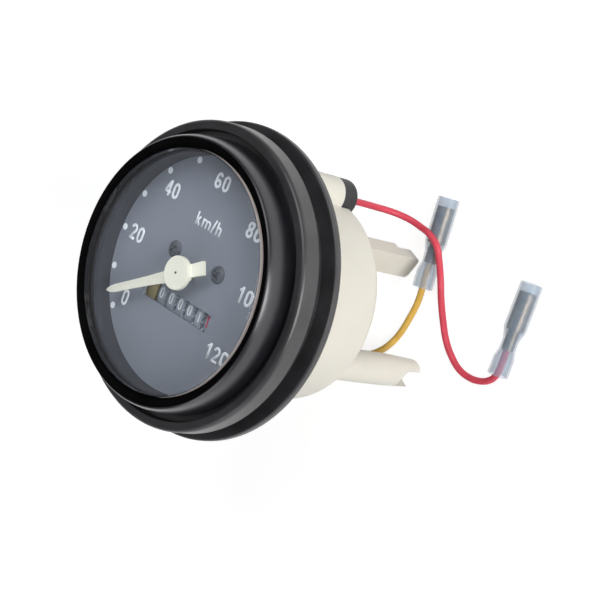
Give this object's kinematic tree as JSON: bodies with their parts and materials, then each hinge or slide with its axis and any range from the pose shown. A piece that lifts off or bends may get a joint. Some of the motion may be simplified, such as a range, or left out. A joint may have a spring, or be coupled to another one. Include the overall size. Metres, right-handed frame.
{
  "type": "speedometer",
  "caption": "Round panel speedometer with a magnetic pointer drive, a geared distance counter, two lamps with leads and four rear legs.",
  "frame": {"origin": "on the dial's axis, in the plane of the four leg tips", "axes": "+Z out of the dial along its axis, +X to 3 o'clock, +Y to 12 o'clock"},
  "size_m": [0.0918, 0.08, 0.0784],
  "materials": {
    "cream_plastic": "moulded cream thermoplastic, slight gloss",
    "black_gloss": "gloss black enamel on a spun bezel",
    "black_matt": "matt black",
    "crystal": "clear polished",
    "rubber": "moulded black rubber, fine bloom",
    "dial_paint": "matt black enamel with pale printing",
    "pointer_cream": "matt cream paint",
    "steel": "turned steel",
    "alloy": "die-cast and machined light alloy",
    "brass": "turned brass",
    "magnet": "cast magnet alloy, dark",
    "drum_black": "moulded dark grey with printed white figures, red ones on the last drum",
    "bulb_glass": "clear glass",
    "red_insulation": "soft extruded insulation, satin",
    "yellow_insulation": "soft extruded insulation, satin",
    "clear_sleeve": "translucent pale blue soft plastic"
  },
  "bodies": {
    "case": {"housing": "cream_plastic", "bezel": "black_gloss", "crystal": "crystal", "crystal_gasket": "rubber", "inner_ring": "black_matt", "mounting_ring": "rubber", "dial_plate": "dial_paint", "dial_screws": "black_gloss", "hairspring": "steel", "hairspring_stud": "brass", "bridge": "alloy", "bridge_screws": "steel", "upper_pillars": "brass", "bearing_plate": "alloy", "lower_pillars": "brass", "movement_frame": "alloy", "case_screws": "steel", "spindle_bushing": "brass", "thrust_washer": "steel", "field_cup": "steel", "counter_axle": "steel", "pinion_axle": "steel", "counter_bracket_left": "steel", "counter_bracket_right": "steel", "lamp_holder_top": "rubber", "lamp_holder_rear": "rubber", "bulb_top": "bulb_glass", "bulb_rear": "bulb_glass", "red_lead": "red_insulation", "yellow_lead": "yellow_insulation", "red_terminal": "brass", "yellow_terminal": "brass", "red_sleeve": "clear_sleeve", "yellow_sleeve": "clear_sleeve"},
    "indicator": {"pointer": "pointer_cream", "pointer_staff": "steel", "collet": "brass", "speed_cup": "alloy"},
    "drive": {"drive_spindle": "steel", "magnet": "magnet"},
    "cross_gear": {"cross_shaft": "brass"},
    "upright_gear": {"upright_shaft": "brass"},
    "wheel_tenths": {"drum_tenths": "drum_black"},
    "wheel_10": {"drum_10": "drum_black"},
    "wheel_100": {"drum_100": "drum_black"},
    "wheel_1000": {"drum_1000": "drum_black"},
    "wheel_10000": {"drum_10000": "drum_black"},
    "wheel_100000": {"drum_100000": "drum_black"},
    "carry_10": {"pinion_10": "brass"},
    "carry_100": {"pinion_100": "brass"},
    "carry_1000": {"pinion_1000": "brass"},
    "carry_10000": {"pinion_10000": "brass"},
    "carry_100000": {"pinion_100000": "brass"}
  },
  "joints": [
    {"name": "pointer_swing", "type": "hinge", "parent": "case", "child": "indicator", "pos_m": [0, 0, 0.07], "axis": [0, 0, -1], "range_deg": [0, 247.5], "stiffness_Nm_per_rad": 0.00002},
    {"name": "spindle_spin", "type": "hinge", "parent": "case", "child": "drive", "pos_m": [0, 0, 0.036], "axis": [0, 0, 1], "continuous": true},
    {"name": "cross_spin", "type": "hinge", "parent": "case", "child": "cross_gear", "pos_m": [0.0052, 0, 0.0382], "axis": [0, 1, 0], "continuous": true},
    {"name": "upright_spin", "type": "hinge", "parent": "case", "child": "upright_gear", "pos_m": [0.0136, -0.0124, 0.05], "axis": [0, 0, 1], "continuous": true},
    {"name": "tenths_spin", "type": "hinge", "parent": "case", "child": "wheel_tenths", "pos_m": [0.00937, -0.0083, 0.061], "axis": [1, 0, 0], "continuous": true},
    {"name": "wheel_10_spin", "type": "hinge", "parent": "case", "child": "wheel_10", "pos_m": [0.00562, -0.0083, 0.061], "axis": [1, 0, 0], "continuous": true},
    {"name": "carry_10_spin", "type": "hinge", "parent": "case", "child": "carry_10", "pos_m": [0.0075, -0.01705, 0.061], "axis": [1, 0, 0], "continuous": true},
    {"name": "wheel_100_spin", "type": "hinge", "parent": "case", "child": "wheel_100", "pos_m": [0.00187, -0.0083, 0.061], "axis": [1, 0, 0], "continuous": true},
    {"name": "carry_100_spin", "type": "hinge", "parent": "case", "child": "carry_100", "pos_m": [0.00375, -0.01705, 0.061], "axis": [1, 0, 0], "continuous": true},
    {"name": "wheel_1000_spin", "type": "hinge", "parent": "case", "child": "wheel_1000", "pos_m": [-0.00187, -0.0083, 0.061], "axis": [1, 0, 0], "continuous": true},
    {"name": "carry_1000_spin", "type": "hinge", "parent": "case", "child": "carry_1000", "pos_m": [0, -0.01705, 0.061], "axis": [1, 0, 0], "continuous": true},
    {"name": "wheel_10000_spin", "type": "hinge", "parent": "case", "child": "wheel_10000", "pos_m": [-0.00562, -0.0083, 0.061], "axis": [1, 0, 0], "continuous": true},
    {"name": "carry_10000_spin", "type": "hinge", "parent": "case", "child": "carry_10000", "pos_m": [-0.00375, -0.01705, 0.061], "axis": [1, 0, 0], "continuous": true},
    {"name": "wheel_100000_spin", "type": "hinge", "parent": "case", "child": "wheel_100000", "pos_m": [-0.00937, -0.0083, 0.061], "axis": [1, 0, 0], "continuous": true},
    {"name": "carry_100000_spin", "type": "hinge", "parent": "case", "child": "carry_100000", "pos_m": [-0.0075, -0.01705, 0.061], "axis": [1, 0, 0], "continuous": true}
  ],
  "couplings": [
    {"joint": "cross_spin", "follows": "spindle_spin", "ratio": 0.1},
    {"joint": "upright_spin", "follows": "spindle_spin", "ratio": 0.01},
    {"joint": "tenths_spin", "follows": "spindle_spin", "ratio": 0.001},
    {"joint": "wheel_10_spin", "follows": "spindle_spin", "ratio": 0.0001},
    {"joint": "carry_10_spin", "follows": "spindle_spin", "ratio": -0.00025},
    {"joint": "wheel_100_spin", "follows": "spindle_spin", "ratio": 0.00001},
    {"joint": "carry_100_spin", "follows": "spindle_spin", "ratio": -0.000025},
    {"joint": "wheel_1000_spin", "follows": "spindle_spin", "ratio": 0.000001},
    {"joint": "carry_1000_spin", "follows": "spindle_spin", "ratio": -0.0000025},
    {"joint": "wheel_10000_spin", "follows": "spindle_spin", "ratio": 0.0000001},
    {"joint": "carry_10000_spin", "follows": "spindle_spin", "ratio": -0.00000025},
    {"joint": "wheel_100000_spin", "follows": "spindle_spin", "ratio": 0.00000001},
    {"joint": "carry_100000_spin", "follows": "spindle_spin", "ratio": -0.000000025}
  ]
}
